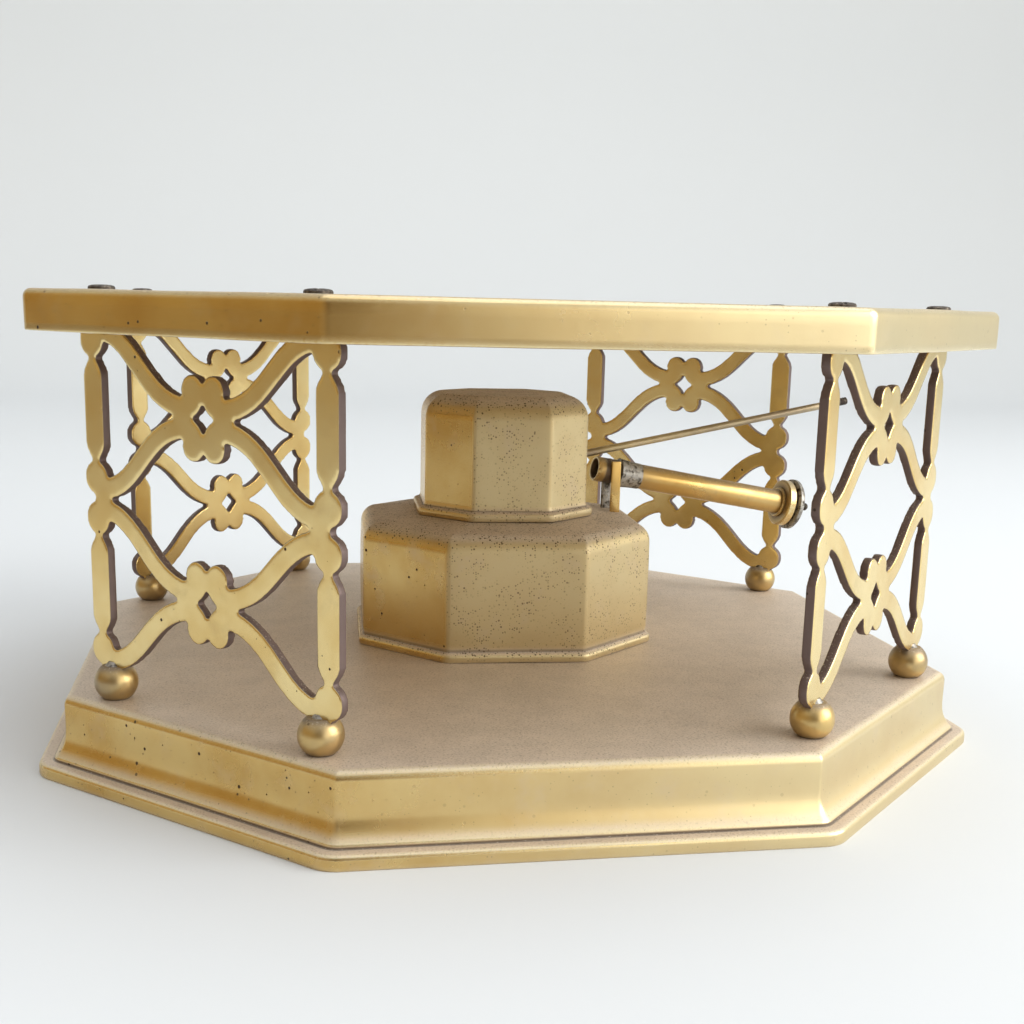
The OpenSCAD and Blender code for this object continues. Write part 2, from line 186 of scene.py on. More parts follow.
class Graph:
    def __init__(self, tree):
        self.tree = tree

    @classmethod
    def material(cls, name):
        material = bpy.data.materials.new(name)
        material.use_nodes = True
        material.node_tree.nodes.clear()
        graph = cls(material.node_tree)
        graph.made = material
        return graph

    def feed(self, socket, value):
        if isinstance(value, Wire):
            self.tree.links.new(value.socket, socket)
        else:
            socket.default_value = value

    def node(self, kind, settings=None, inputs=None, output=0):
        """Makes a node: its settings first, then its values and links. Gives one output."""
        made = self.tree.nodes.new(kind)
        for key, value in (settings or {}).items():
            setattr(made, key, value)
        for key, value in (inputs or {}).items():
            self.feed(made.inputs[key], value)
        return Wire(self, made.outputs[output]) if len(made.outputs) else made

    def blend(self, factor, first, second):
        """A colour between two, by a factor."""
        return self.node(
            "ShaderNodeMix", {"data_type": "RGBA"}, {0: factor, 6: first, 7: second}, output=2
        )

    def place(self, shift=(0, 0, 0)):
        """Object coordinates in millimetres, shifted so that two textures don't coincide."""
        metres = self.node("ShaderNodeTexCoord", output="Object")
        return self.node(
            "ShaderNodeMapping", {}, {"Vector": metres, "Location": shift, "Scale": (1000,) * 3}
        )

    def noise(self, size, detail=3, shift=(0, 0, 0)):
        """Cloudy noise, 0 to 1, whose blobs are about `size` millimetres across."""
        return self.node(
            "ShaderNodeTexNoise",
            {},
            {"Vector": self.place(shift), "Scale": 1 / size, "Detail": detail, "Roughness": 0.6},
        )

    def pits(self, spacing, share, radius, shift=(0, 0, 0)):
        """Round pits: `share` of the cells have one, up to `radius` millimetres."""
        cells = {"Vector": self.place(shift), "Scale": 1 / spacing}
        distance = self.node("ShaderNodeTexVoronoi", {}, cells, output="Distance")
        colour = self.node("ShaderNodeTexVoronoi", {}, cells, output="Color")
        chance = self.node("ShaderNodeSeparateColor", {}, {0: colour})
        size = (chance - (1 - share)).math("MAXIMUM", 0) * (radius / spacing / share)
        return (size - distance).step(0, 0.25 * radius / spacing)

    def attribute(self, name):
        return self.node("ShaderNodeAttribute", {"attribute_name": name}, output="Fac")

    def facing_up(self):
        """How far the surface faces up, from its normal in its own frame."""
        normal = self.node("ShaderNodeTexCoord", output="Normal")
        return self.node("ShaderNodeSeparateXYZ", {}, {0: normal}, output="Z")

    def across(self):
        """The place along X in the piece's own frame."""
        place = self.node("ShaderNodeTexCoord", output="Object")
        return self.node("ShaderNodeSeparateXYZ", {}, {0: place}, output="X")

    def facing_left(self):
        """How far the surface faces the object's left side."""
        normal = self.node("ShaderNodeTexCoord", output="Normal")
        return self.node("ShaderNodeSeparateXYZ", {}, {0: normal}, output="X") * -1

    def surface(self, base, rough, metallic, height, bump=0.3):
        """Ends the tree in a principled shader with a bump."""
        relief = self.node(
            "ShaderNodeBump", {}, {"Strength": bump, "Distance": 0.3 * MM, "Height": height}
        )
        shader = self.node(
            "ShaderNodeBsdfPrincipled",
            {},
            {
                "Base Color": base,
                "Roughness": rough,
                "Metallic": metallic,
                "Normal": relief,
            },
        )
        self.node("ShaderNodeOutputMaterial", {}, {"Surface": shader})
        return self.made


# %% [markdown]
# ## Materials
#
# Every brass piece shares one recipe: a polished tone that drifts, a brown-grey patina on stains
# and where the surface faces up, there partly painted shade, pits, a painted reflection tone on the
# sides that don't face left, paler towards the right on the base and the top as a painted
# highlight, and a little relief. The shapes write two vertex values: one is painted shade with some
# soiling, dark in grooves, insides and under the parts; the other is the rubbing of outer edges
# with a painted highlight on them.

# %% Materials

GOLD = (0.70, 0.50, 0.20, 1)
DEEP_GOLD = (0.60, 0.38, 0.12, 1)
# The next colour lightens rubbed edges, partly as a painted highlight, and flecks solder.
PALE_GOLD = (0.82, 0.71, 0.44, 1)
# The next colour is the rod's tone and, by default, the painted reflection tone of brass sides that
# don't face left.
CHAMPAGNE = (0.60, 0.50, 0.30, 1)
# The next colour covers stains and level surfaces, there partly as painted shade, and the painted
# shade in grooves and insides.
PATINA_AND_SHADE = (0.72, 0.61, 0.50, 1)
TARNISH = (0.30, 0.235, 0.16, 1)
SPECK_BROWN = (0.13, 0.088, 0.055, 1)
# The next colour darkens pits, and is the painted shade in grooves and insides.
DARK = (0.070, 0.048, 0.036, 1)
GREY_SOLDER = (0.42, 0.40, 0.37, 1)
FLUX = (0.08, 0.068, 0.055, 1)
DUST = (0.86, 0.78, 0.66, 1)
RAW_CAST_SIDE = (0.17, 0.12, 0.11, 1)
# The next two colours are painted highlights: the pale tones that the base and the top take towards
# the right.
BASE_PAINTED_HIGHLIGHT = (0.78, 0.69, 0.46, 1)
TOP_PAINTED_HIGHLIGHT = (0.82, 0.75, 0.52, 1)
BRIGHT_CAST = (0.88, 0.70, 0.34, 1)
DEEP_CAST = (0.76, 0.54, 0.21, 1)


def brass(
    name,
    polish=GOLD,
    drift=DEEP_GOLD,
    patina=PATINA_AND_SHADE,
    rough=0.19,
    up=0.0,
    stain=0.25,
    pit_share=0.12,
    speckle=0.0,
    satin_and_reflection=0.0,
    away=CHAMPAGNE,
    rightward_highlight=0.0,
    face_attribute=None,
):
    """Brass in use. `up` is how much patina lies on level surfaces, partly painted shade from what
    stands above them, and `stain` how much elsewhere. `speckle` is how grainy it is. The weight
    after
    `speckle` makes the sides that don't face left rougher and pulls their colour towards `away`, a
    painted reflection; the weight after `away` makes that grow from left to right, a painted
    highlight on the base and the top. With a `face_attribute`, the faces where that vertex value is
    low are patina all over."""
    g = Graph.material(name)
    level = g.facing_up().step(0.45, 0.88)
    shoulder = g.facing_up().step(0.12, 0.6)
    left = g.facing_left().step(0.35, 0.75)
    to_right = g.across().step(-0.35 * WIDTH, 0.3 * WIDTH)
    # Painted reflection: the sides that don't face left are roughened and pulled to the `away`
    # tone; where asked it grows towards the right as a painted highlight.
    matte_and_reflection = (1 - left) * satin_and_reflection * (1 - (1 - to_right) * rightward_highlight)
    clouds = g.noise(26, 4)
    patches = g.noise(9, 5, (31, 7, 12))
    grain = g.noise(0.5, 2, (3, 3, 9))
    # The two vertex values: painted shade with some soiling, and edge rubbing with a painted
    # highlight.
    grime_and_shade = g.attribute("grime_and_shade")
    wear_and_highlight = g.attribute("wear_and_highlight")
    large_pits = g.pits(2.2, pit_share, 0.5, (5, 1, 2)) * (left * 0.85 + 0.15)
    small_pits = g.pits(1.0, pit_share, 0.2, (9, 4, 8)) * (left * 0.6 + 0.3)
    pitted = large_pits.math("MAXIMUM", small_pits)
    dots = g.pits(0.65, 0.8, 0.33, (2, 6, 5))

    # Patina on stains and on level surfaces, there partly painted shade, raised by the first vertex
    # value as painted shade in grooves and insides; the panels' raw sides are patina too.
    patina_and_shade_mask = (level * up + patches.step(0.5, 0.8) * stain + grime_and_shade * 0.8).clamp()
    if face_attribute:
        side = 1 - g.attribute(face_attribute).step(0.25, 0.75)
        patina_and_shade_mask = patina_and_shade_mask.math("MAXIMUM", side)

    base = g.blend(clouds.step(0.35, 0.7), polish, drift)
    # Painted reflection and highlight: those sides take the `away` tone.
    base = g.blend(matte_and_reflection * 0.85, base, away)
    mottled = g.blend(patches.step(0.3, 0.7), patina, tuple(c * 0.9 for c in patina[:3]) + (1,))
    base = g.blend(patina_and_shade_mask, base, mottled)
    # Painted shade with some soiling: grooves, insides and undersides go dark.
    base = g.blend(grime_and_shade.step(0.45, 1) * 0.8, base, DARK)
    # Edge rubbing with a painted highlight: outer edges turn pale gold.
    base = g.blend(wear_and_highlight * grain.step(0.25, 0.6) * 0.8, base, PALE_GOLD)
    base = g.blend(grain.step(0.54, 0.68) * level * 0.55, base, TARNISH)
    base = g.blend((1 - grain).step(0.58, 0.70) * level * 0.5, base, DUST)
    edges = shoulder * (1 - level * 0.6)
    grainy = (edges * 1.3 + matte_and_reflection * patches.step(0.38, 0.6) * 0.75).clamp() * speckle
    base = g.blend(dots * grainy, base, SPECK_BROWN)
    base = g.blend(pitted, base, DARK)

    spread = clouds * 0.14 + large_pits * 0.3 - wear_and_highlight * 0.08 + matte_and_reflection * 0.14 + grainy * 0.12
    hollows = large_pits * 0.8 + small_pits * 0.3 + dots * grainy * 0.4
    height = grain * 0.10 + patches * 0.2 - hollows
    return g.surface(base, (rough + patina_and_shade_mask * 0.26 + spread).clamp(), 0.97 - patina_and_shade_mask * 0.55, height, 0.2)


def solder(name, tone, darkening):
    """Wiped soft solder: grey, lumpy, with dark flux residue in its hollows."""
    g = Graph.material(name)
    lumps = g.noise(1.6, 4)
    flecks = g.noise(0.5, 2, (4, 4, 1))
    base = g.blend(lumps.step(0.42, 0.66), tone, darkening)
    base = g.blend(flecks.step(0.62, 0.7) * 0.5, base, PALE_GOLD)
    return g.surface(base, 0.34 + lumps * 0.3, 0.85, lumps + flecks * 0.3, bump=0.5)


def dark_steel(name):
    """Blackened screw steel with rubbed high spots."""
    g = Graph.material(name)
    brightening = g.noise(1.1, 4)
    rust = g.noise(2.4, 3, (8, 2, 2))
    base = g.blend(brightening.step(0.45, 0.75), (0.075, 0.062, 0.055, 1), (0.30, 0.26, 0.21, 1))
    base = g.blend(rust.step(0.55, 0.7) * 0.6, base, (0.13, 0.06, 0.035, 1))
    return g.surface(base, 0.62 - brightening * 0.25, 0.8, brightening, bump=0.4)


def cotton(name):
    """Woven cotton with burnt brown spots."""
    g = Graph.material(name)
    strands = g.node(
        "ShaderNodeTexWave",
        {"bands_direction": "DIAGONAL"},
        {"Vector": g.place(), "Scale": 0.45, "Distortion": 1.2},
    )
    spots = g.noise(1.4, 4)
    base = g.blend(strands, (0.62, 0.56, 0.44, 1), (0.83, 0.79, 0.68, 1))
    base = g.blend(spots.step(0.5, 0.75) * 0.7, base, (0.16, 0.11, 0.08, 1))
    return g.surface(base, 0.9, 0.0, strands + spots * 0.4, bump=0.8)


MATERIALS = {
    "base_brass": brass(
        "base_brass",
        up=1.0,
        stain=0.25,
        pit_share=0.6,
        satin_and_reflection=0.7,
        away=BASE_PAINTED_HIGHLIGHT,
        rightward_highlight=1.0,
    ),
    "top_brass": brass(
        "top_brass",
        rough=0.14,
        up=0.3,
        stain=0.15,
        pit_share=0.3,
        satin_and_reflection=0.8,
        away=TOP_PAINTED_HIGHLIGHT,
        rightward_highlight=1.0,
    ),
    "panel_brass": brass(
        "panel_brass",
        polish=BRIGHT_CAST,
        drift=DEEP_CAST,
        patina=RAW_CAST_SIDE,
        rough=0.16,
        stain=0.12,
        up=0.3,
        face_attribute="polish",
    ),
    "ball_brass": brass("ball_brass", GOLD, TARNISH, TARNISH, rough=0.26, stain=0.7, up=0.9),
    "burner_brass": brass(
        "burner_brass", up=0.95, stain=0.3, pit_share=0.35, speckle=1.0, satin_and_reflection=1.0
    ),
    "fitting_brass": brass("fitting_brass", patina=TARNISH, stain=0.6, up=0.5, rough=0.2),
    "rod_brass": brass("rod_brass", polish=CHAMPAGNE, drift=TARNISH, stain=0.4, rough=0.34),
    "solder": solder("solder", GREY_SOLDER, FLUX),
    "screw_steel": dark_steel("screw_steel"),
    "wick_cotton": cotton("wick_cotton"),
}
print(len(MATERIALS), "materials")

# %% [markdown]
# ## Pieces
#
# Each piece is one mesh with its origin at the frame's origin. `finish_piece` cleans its normals,
# adds the slow unevenness of handwork, gives it its material and puts it on its CAD body.

# %% Piece helpers


def finish_piece(name, bm, material, body, replaced, uneven=0.0, smooth_angle=35):
    """Turns a bmesh into a piece of the object."""
    bmesh.ops.recalc_face_normals(bm, faces=bm.faces)
    if uneven:
        for vertex in bm.verts:
            wave = noise.noise(vertex.co / (24 * MM)) + 0.4 * noise.noise(vertex.co / (7 * MM))
            vertex.co += vertex.normal * wave * uneven
    mesh = bpy.data.meshes.new(name)
    bm.to_mesh(mesh)
    bm.free()
    mesh.materials.append(MATERIALS[material])
    mesh.shade_smooth()
    mesh.set_sharp_from_angle(angle=math.radians(smooth_angle))
    piece = bpy.data.objects.new(name, mesh)
    scene.collection.objects.link(piece)
    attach(piece, body)
    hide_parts(*replaced)
    return piece


def octagon_ring(shape, turn, offset, corner_radius):
    """Points of a rounded octagon, `offset` outside the one measured: for each corner its arc, then
    the side that follows it."""
    centre, half, diagonal = shape
    arc_steps = 6
    side_steps = 12
    radius = max(corner_radius + offset, 0.35 * MM)
    corners = []
    for k in range(8):
        first = math.radians(turn + 45 * k)
        second = first + math.radians(45)
        near = (half if k % 2 == 0 else diagonal) + offset - radius
        far = (diagonal if k % 2 == 0 else half) + offset - radius
        spread = math.sin(math.radians(45))
        x = (near * math.sin(second) - far * math.sin(first)) / spread
        y = (far * math.cos(first) - near * math.cos(second)) / spread
        angles = [first + (second - first) * j / arc_steps for j in range(arc_steps + 1)]
        corners.append(
            [Vector((x + radius * math.cos(a), y + radius * math.sin(a), 0)) for a in angles]
        )
    ring = []
    for k, corner in enumerate(corners):
        following = corners[(k + 1) % 8][0]
        ring += corner
        ring += [corner[-1].lerp(following, j / side_steps) for j in range(1, side_steps)]
    return [centre + point for point in ring]


def skin(bm, rings, grimes_and_shades, wears_and_highlights):
    """Joins rings of equal length with quads, closes both ends with fans, and gives each ring's
    vertices its two values: painted shade with some soiling, and edge rubbing with a painted
    highlight."""
    grime_and_shade = bm.verts.layers.float.new("grime_and_shade")
    wear_and_highlight = bm.verts.layers.float.new("wear_and_highlight")
    rows = []
    for ring, darkening, brightening in zip(rings, grimes_and_shades, wears_and_highlights):
        row = [bm.verts.new(point) for point in ring]
        for vertex in row:
            vertex[grime_and_shade] = darkening
            vertex[wear_and_highlight] = brightening
        rows.append(row)
    for upper, lower in zip(rows, rows[1:]):
        for i in range(len(upper)):
            j = (i + 1) % len(upper)
            bm.faces.new((upper[i], upper[j], lower[j], lower[i]))
    for row in (rows[0], rows[-1]):
        hub = bm.verts.new(sum((v.co for v in row), Vector()) / len(row))
        for i in range(len(row)):
            bm.faces.new((row[i], row[(i + 1) % len(row)], hub))


def octagon_shell(shape, turn, z, profile, corner_radius):
    """A sheet-metal octagon. `profile` is (offset, height, shade, edge) in millimetres, from the
    top's edge over the outside, round the lower lip and up the inside to the underside's edge;
    both level plates are filled in towards the centre. The shade column is painted shade with some
    soiling, the edge column edge rubbing with a painted highlight."""
    centre = shape[0]
    rings = []
    for offset, height, _, _ in profile:
        ring = octagon_ring(shape, turn, offset * MM, corner_radius)
        rings.append([Vector((p.x, p.y, z + height * MM)) for p in ring])
    shares = [0.97, 0.9, 0.8, 0.66, 0.5, 0.34, 0.18, 0.06]

    def plate(ring):
        level = Vector((centre.x, centre.y, ring[0].z))
        return [[level.lerp(point, share) for point in ring] for share in shares]

    upper = plate(rings[0])[::-1]
    lower = plate(rings[-1])
    # Painted shade: the underside plate is half dark, the upper plate not at all.
    darkening = [0] * len(shares) + [p[2] for p in profile] + [0.5] * len(shares)
    brightening = [0] * len(shares) + [p[3] for p in profile] + [0] * len(shares)
    bm = bmesh.new()
    skin(bm, upper + rings + lower, darkening, brightening)
    return bm


def arc_rows(x, z, radius, start, end, steps, darkening=0.0, brightening=0.0):
    """Profile rows along an arc; the edge rubbing and its painted highlight are strongest in the
    middle of it.
    """
    rows = []
    for i in range(steps + 1):
        angle = math.radians(start + (end - start) * i / steps)
        most = math.sin(math.pi * i / steps)
        rows.append((x + radius * math.cos(angle), z + radius * math.sin(angle), darkening, brightening * most))
    return rows


def lathe(profile, start, along, steps=48):
    """Turns a profile of (distance along, radius, shade, edge) in millimetres round an axis. The
    shade column is painted shade with some soiling, the edge column edge rubbing with a painted
    highlight.
    """
    across = along.cross(Vector((0, 0, 1))).normalized()
    if across.length < 0.5:
        across = Vector((1, 0, 0))
    third = along.cross(across).normalized()
    rings = []
    for distance, radius, _, _ in profile:
        centre = start + along * distance * MM
        angles = [2 * math.pi * i / steps for i in range(steps)]
        rings.append(
            [centre + (across * math.cos(a) + third * math.sin(a)) * radius * MM for a in angles]
        )
    bm = bmesh.new()
    skin(bm, rings, [p[2] for p in profile], [p[3] for p in profile])
    return bm


# %% [markdown]
# ### Pressed sheet: base, top, reservoir and cap

# %% Sheet pieces

BASE_H = BASE_TOP / MM
RIM_OUT = (CAD_BOX[1].x - BASE[1]) / MM
RIM_H = 3.6
EDGE_R = 2.4
SHEET = 1.4
LIP_R = 1.2
BASE_CORNER_R = 1.6

# Last two columns: painted shade with some soiling in the groove at the wall's foot, under the rim
# and on the inside; edge rubbing with a painted highlight on the top edge, the wall's foot and the
# rim.
base_profile = (
    arc_rows(-EDGE_R, BASE_H - EDGE_R, EDGE_R, 90, 0, 7, brightening=0.7)
    + [(0, BASE_H * 0.72, 0, 0), (0, BASE_H * 0.55, 0, 0), (0.15, 9.2, 0, 0), (0.5, 7.7, 0, 0)]
    + [(1.1, 6.4, 0, 0), (1.9, 5.3, 0, 0.1), (2.6, 4.6, 0.1, 0.9), (2.85, 4.3, 0.3, 1)]
    + [(2.9, 4.0, 0.7, 0), (2.8, 3.6, 0.9, 0), (3.1, 3.45, 0.85, 0), (3.6, 3.5, 0.45, 0)]
    + [(4.4, 3.58, 0.3, 0)]
    + arc_rows(RIM_OUT - LIP_R, RIM_H - LIP_R, LIP_R, 90, 0, 5, brightening=1)
    + [(RIM_OUT, 1.3, 0, 0), (RIM_OUT, 0.5, 0.1, 0.2), (RIM_OUT - 0.3, 0, 0.6, 0.2)]
    + [(RIM_OUT - SHEET, 0, 0.6, 0), (RIM_OUT - SHEET, RIM_H - SHEET, 0.6, 0)]
    + [(1.8, RIM_H - SHEET, 0.6, 0), (-SHEET, RIM_H + 4, 0.5, 0)]
    + [(-SHEET, BASE_H - EDGE_R, 0.5, 0), (-EDGE_R, BASE_H - SHEET, 0.5, 0)]
)
finish_piece(
    "base_tray_sheet",
    octagon_shell(BASE, 0, 0, base_profile, BASE_CORNER_R * MM),
    "base_brass",
    "stand",
    ["base_tray"],
    uneven=0.09 * MM,
)

SKIRT_H = (STAND_TOP - SKIRT_LOW) / MM
TOP_SHEET = 1.3
TOP_EDGE_R = 2
TOP_CORNER_R = 3.6
# Last two columns: painted shade on the inside of the skirt; edge rubbing with a painted highlight
# on its top and bottom edges.
top_profile = (
    arc_rows(-TOP_EDGE_R, SKIRT_H - TOP_EDGE_R, TOP_EDGE_R, 90, 0, 7, brightening=0.4)
    + [(0, SKIRT_H * 0.6, 0, 0), (0, SKIRT_H * 0.4, 0, 0), (0, SKIRT_H * 0.2, 0, 0)]
    + [(0, 0.5, 0, 0.5), (-0.1, 0.12, 0.1, 0.9), (-0.4, 0, 0.3, 0.4)]
    + [(-TOP_SHEET + 0.2, 0, 0.5, 0), (-TOP_SHEET, 0.4, 0.5, 0)]
    + [(-TOP_SHEET, SKIRT_H - TOP_EDGE_R, 0.5, 0), (-TOP_SHEET - 0.6, SKIRT_H - TOP_SHEET, 0.5, 0)]
)
finish_piece(
    "top_plate_sheet",
    octagon_shell(TOP, 0, SKIRT_LOW, top_profile, TOP_CORNER_R * MM),
    "top_brass",
    "stand",
    ["top_plate"],
    uneven=0.12 * MM,
)

TANK_H = (TANK_TOP - TANK_LOW) / MM
SHOULDER_R = 5.4
TANK_WALL = 30.2
TANK_CORNER_R = 2.6
CAP_EDGE = (CAP[1] - TANK[1]) / MM
# Last two columns: painted shade under the cap's edge, in the groove at the foot, under the bottom
# and inside; edge rubbing with a painted highlight on the shoulder and the foot.
tank_profile = (
    [(CAP_EDGE, TANK_H, 0.7, 0), (CAP_EDGE + 3.5, TANK_H - 0.3, 0.05, 0)]
    + [(CAP_EDGE + 8, TANK_H - 0.72, 0, 0)]
    + arc_rows(-SHOULDER_R, TANK_WALL, SHOULDER_R, 76, 0, 9, brightening=0.25)
    + [(0.1, 24, 0, 0), (0.12, 18, 0, 0), (0.1, 12, 0, 0), (0, 5, 0, 0.1), (-0.1, 4, 0.3, 0.3)]
    + [(-0.3, 3.4, 0.7, 0), (-0.25, 2.9, 0.8, 0), (0.3, 2.6, 0.5, 0)]
    + arc_rows(0.2, 1.5, 1, 80, 0, 4, brightening=0.8)
    + [(1.2, 0.5, 0.1, 0.2), (1.0, 0.1, 0.6, 0), (-1.5, 0.1, 0.6, 0)]
    + [(-1.6, TANK_WALL, 0.5, 0), (-6.4, TANK_H - 2.2, 0.5, 0), (-10, TANK_H - 1.4, 0.5, 0)]
)
finish_piece(
    "reservoir_sheet",
    octagon_shell(TANK, BURNER_TURN, TANK_LOW, tank_profile, TANK_CORNER_R * MM),
    "burner_brass",
    "burner",
    ["reservoir_shell"],
    uneven=0.12 * MM,
)

CAP_H = (CAP_TOP - CAP_LOW) / MM
CAP_R = 7
CAP_CORNER_R = 2.2
CAP_SHEET = 1
BEAD = 2
# Last two columns: painted shade in the groove above the bead, under the bead and inside; edge
# rubbing with a painted highlight on the bead and the top.
cap_profile = (
    arc_rows(-CAP_R, CAP_H - CAP_R, CAP_R, 84, 0, 10, brightening=0.2)
    + [(0, CAP_H * 0.6, 0, 0), (0, CAP_H * 0.35, 0, 0), (0, 4.4, 0, 0), (0.05, 3.5, 0.3, 0)]
    + [(0.3, 2.9, 0.8, 0), (0.9, 2.6, 0.4, 0)]
    + arc_rows(BEAD - 0.8, 1.7, 0.8, 90, 0, 4, darkening=0.2, brightening=0.6)
    + [(BEAD, 0.9, 0, 0.2), (BEAD - 0.1, 0.3, 0.3, 0), (BEAD - 0.5, 0, 0.9, 0)]
    + [(-CAP_SHEET, 0, 0.6, 0), (-CAP_SHEET, CAP_H - CAP_R, 0.6, 0)]
    + [(-CAP_SHEET - 2.4, CAP_H - CAP_SHEET - 2.4, 0.6, 0)]
    + [(-CAP_SHEET - CAP_R, CAP_H - CAP_SHEET, 0.6, 0)]
)
finish_piece(
    "snuffer_cap_sheet",
    octagon_shell(CAP, BURNER_TURN, CAP_LOW, cap_profile, CAP_CORNER_R * MM),
    "burner_brass",
    "cap",
    ["snuffer_cap"],
    uneven=0.08 * MM,
)
print("sheet pieces made; rim stands out", round(RIM_OUT, 1), "mm")

# %% [markdown]
# ### Cast fretwork
#
# One panel is remeshed in its own upright frame, so that its edges come out rounded as on a filed
# casting, and then turned to the four corners. `polish` tells its filed faces from its raw sides.

# %% Fretwork panels

CORNERS = {"front_left": 225, "front_right": 315, "back_right": 45, "back_left": 135}


def evaluated_copy(source):
    """The mesh of an object with its modifiers applied."""
    graph = bpy.context.evaluated_depsgraph_get()
    return bpy.data.meshes.new_from_object(source.evaluated_get(graph), depsgraph=graph)


def cast_panel(node, angle, voxel):
    """A CAD panel turned to face +X, merged, remeshed and softened."""
    bm = bmesh.new()
    bm.from_mesh(nodes[node].data)
    bmesh.ops.remove_doubles(bm, verts=bm.verts, dist=0.002 * MM)
    bmesh.ops.rotate(bm, verts=bm.verts, matrix=Matrix.Rotation(math.radians(-angle), 3, "Z"))
    mesh = bpy.data.meshes.new("panel_blank")
    bm.to_mesh(mesh)
    bm.free()
    blank = bpy.data.objects.new("panel_blank", mesh)
    scene.collection.objects.link(blank)
    remesh = blank.modifiers.new("cast", "REMESH")
    remesh.mode = "VOXEL"
    remesh.voxel_size = voxel
    soften = blank.modifiers.new("soften", "SMOOTH")
    soften.factor = 0.5
    soften.iterations = 4
    made = evaluated_copy(blank)
    bpy.data.objects.remove(blank)
    bpy.data.meshes.remove(mesh)
    return made


VOXEL = 0.45 * MM
cast = cast_panel("panel_front_right", CORNERS["front_right"], VOXEL)
for corner, angle in CORNERS.items():
    bm = bmesh.new()
    bm.from_mesh(cast)
    polish = bm.verts.layers.float.new("polish")
    bm.normal_update()
    for vertex in bm.verts:
        vertex[polish] = abs(vertex.normal.x) ** 2
        lump = noise.noise(vertex.co / (6 * MM) + Vector((angle, 0, 0)))
        vertex.co += vertex.normal * lump * 0.04 * MM
    bmesh.ops.rotate(bm, verts=bm.verts, matrix=Matrix.Rotation(math.radians(angle), 3, "Z"))
    finish_piece(
        "fretwork_" + corner, bm, "panel_brass", "stand", ["panel_" + corner], smooth_angle=70
    )
print("panel faces", len(cast.polygons))
bpy.data.meshes.remove(cast)

# %% [markdown]
# ### Repeated pieces
#
# A geometry nodes tree puts one small shape on all eight feet or lugs: it works out the places from
# the distance of the panels and of the feet, and turns each copy by a seeded random angle.

# %% Repeats at the eight feet


def corner_tree():
    """Geometry nodes: copies of a piece at the eight ends of the panels."""
    tree = bpy.data.node_groups.new("at_the_eight_ends", "GeometryNodeTree")
    inputs = [
        ("Piece", "NodeSocketObject"),
        ("Reach", "NodeSocketFloat"),
        ("Spread", "NodeSocketFloat"),
        ("Height", "NodeSocketFloat"),
        ("Turn", "NodeSocketFloat"),
        ("Seed", "NodeSocketInt"),
        ("Material", "NodeSocketMaterial"),
    ]
    for name, kind in inputs:
        tree.interface.new_socket(name, in_out="INPUT", socket_type=kind)
    tree.interface.new_socket("Geometry", in_out="OUTPUT", socket_type="NodeSocketGeometry")
    g = Graph(tree)
    entry = tree.nodes.new("NodeGroupInput")
    given = {name: Wire(g, entry.outputs[name]) for name, _ in inputs}

    index = g.node("GeometryNodeInputIndex")
    side = index.math("MODULO", 2) * 2 - 1
    corner = (index * 0.5).math("FLOOR")
    angle = corner * (math.pi / 2) + math.pi / 4
    flat = {"X": given["Reach"], "Y": side * given["Spread"], "Z": given["Height"]}
    arm = g.node("ShaderNodeCombineXYZ", {}, flat)
    place = g.node(
        "ShaderNodeVectorRotate", {"rotation_type": "Z_AXIS"}, {"Vector": arm, "Angle": angle}
    )
    points = g.node("GeometryNodePoints", {}, {"Count": 8, "Position": place})
    chance = g.node(
        "FunctionNodeRandomValue",
        {"data_type": "FLOAT"},
        {2: 0.0, 3: given["Turn"], "Seed": given["Seed"]},
        output=1,
    )
    turn = g.node("ShaderNodeCombineXYZ", {}, {"Z": angle + chance})
    source = g.node("GeometryNodeObjectInfo", {}, {"Object": given["Piece"]}, output="Geometry")
    copies = g.node(
        "GeometryNodeInstanceOnPoints",
        {},
        {"Points": points, "Instance": source, "Rotation": turn},
    )
    real = g.node("GeometryNodeRealizeInstances", {}, {0: copies})
    painted = g.node(
        "GeometryNodeSetMaterial", {}, {"Geometry": real, "Material": given["Material"]}
    )
    leave = tree.nodes.new("NodeGroupOutput")
    tree.links.new(painted.socket, leave.inputs[0])
    return tree


def grown(name, tree, values):
    """Evaluates a geometry nodes tree with named inputs and gives its mesh as a bmesh."""
    holder = bpy.data.objects.new(name, bpy.data.meshes.new(name))
    scene.collection.objects.link(holder)
    modifier = holder.modifiers.new("grow", "NODES")
    modifier.node_group = tree
    for item in tree.interface.items_tree:
        if item.name in values:
            modifier[item.identifier] = values[item.name]
    mesh = evaluated_copy(holder)
    bpy.data.objects.remove(holder)
    bm = bmesh.new()
    bm.from_mesh(mesh)
    bpy.data.meshes.remove(mesh)
    return bm


def at_the_ends(name, shape, height, turn, material, replaced, uneven=0.0):
    """One small shape, repeated at the eight ends of the panels, as a piece of the stand."""
    mesh = bpy.data.meshes.new(name + "_one")
    bmesh.ops.recalc_face_normals(shape, faces=shape.faces)
    shape.to_mesh(mesh)
    shape.free()
    one = bpy.data.objects.new(name + "_one", mesh)
    scene.collection.objects.link(one)
    values = {
        "Piece": one,
        "Reach": FOOT_REACH,
        "Spread": FOOT_SPREAD,
        "Height": height,
        "Turn": turn,
        "Seed": SEED,
        "Material": MATERIALS[material],
    }
    bm = grown(name, END_TREE, values)
    bpy.data.objects.remove(one)
    bpy.data.meshes.remove(mesh)
    return finish_piece(name, bm, material, "stand", replaced, uneven)


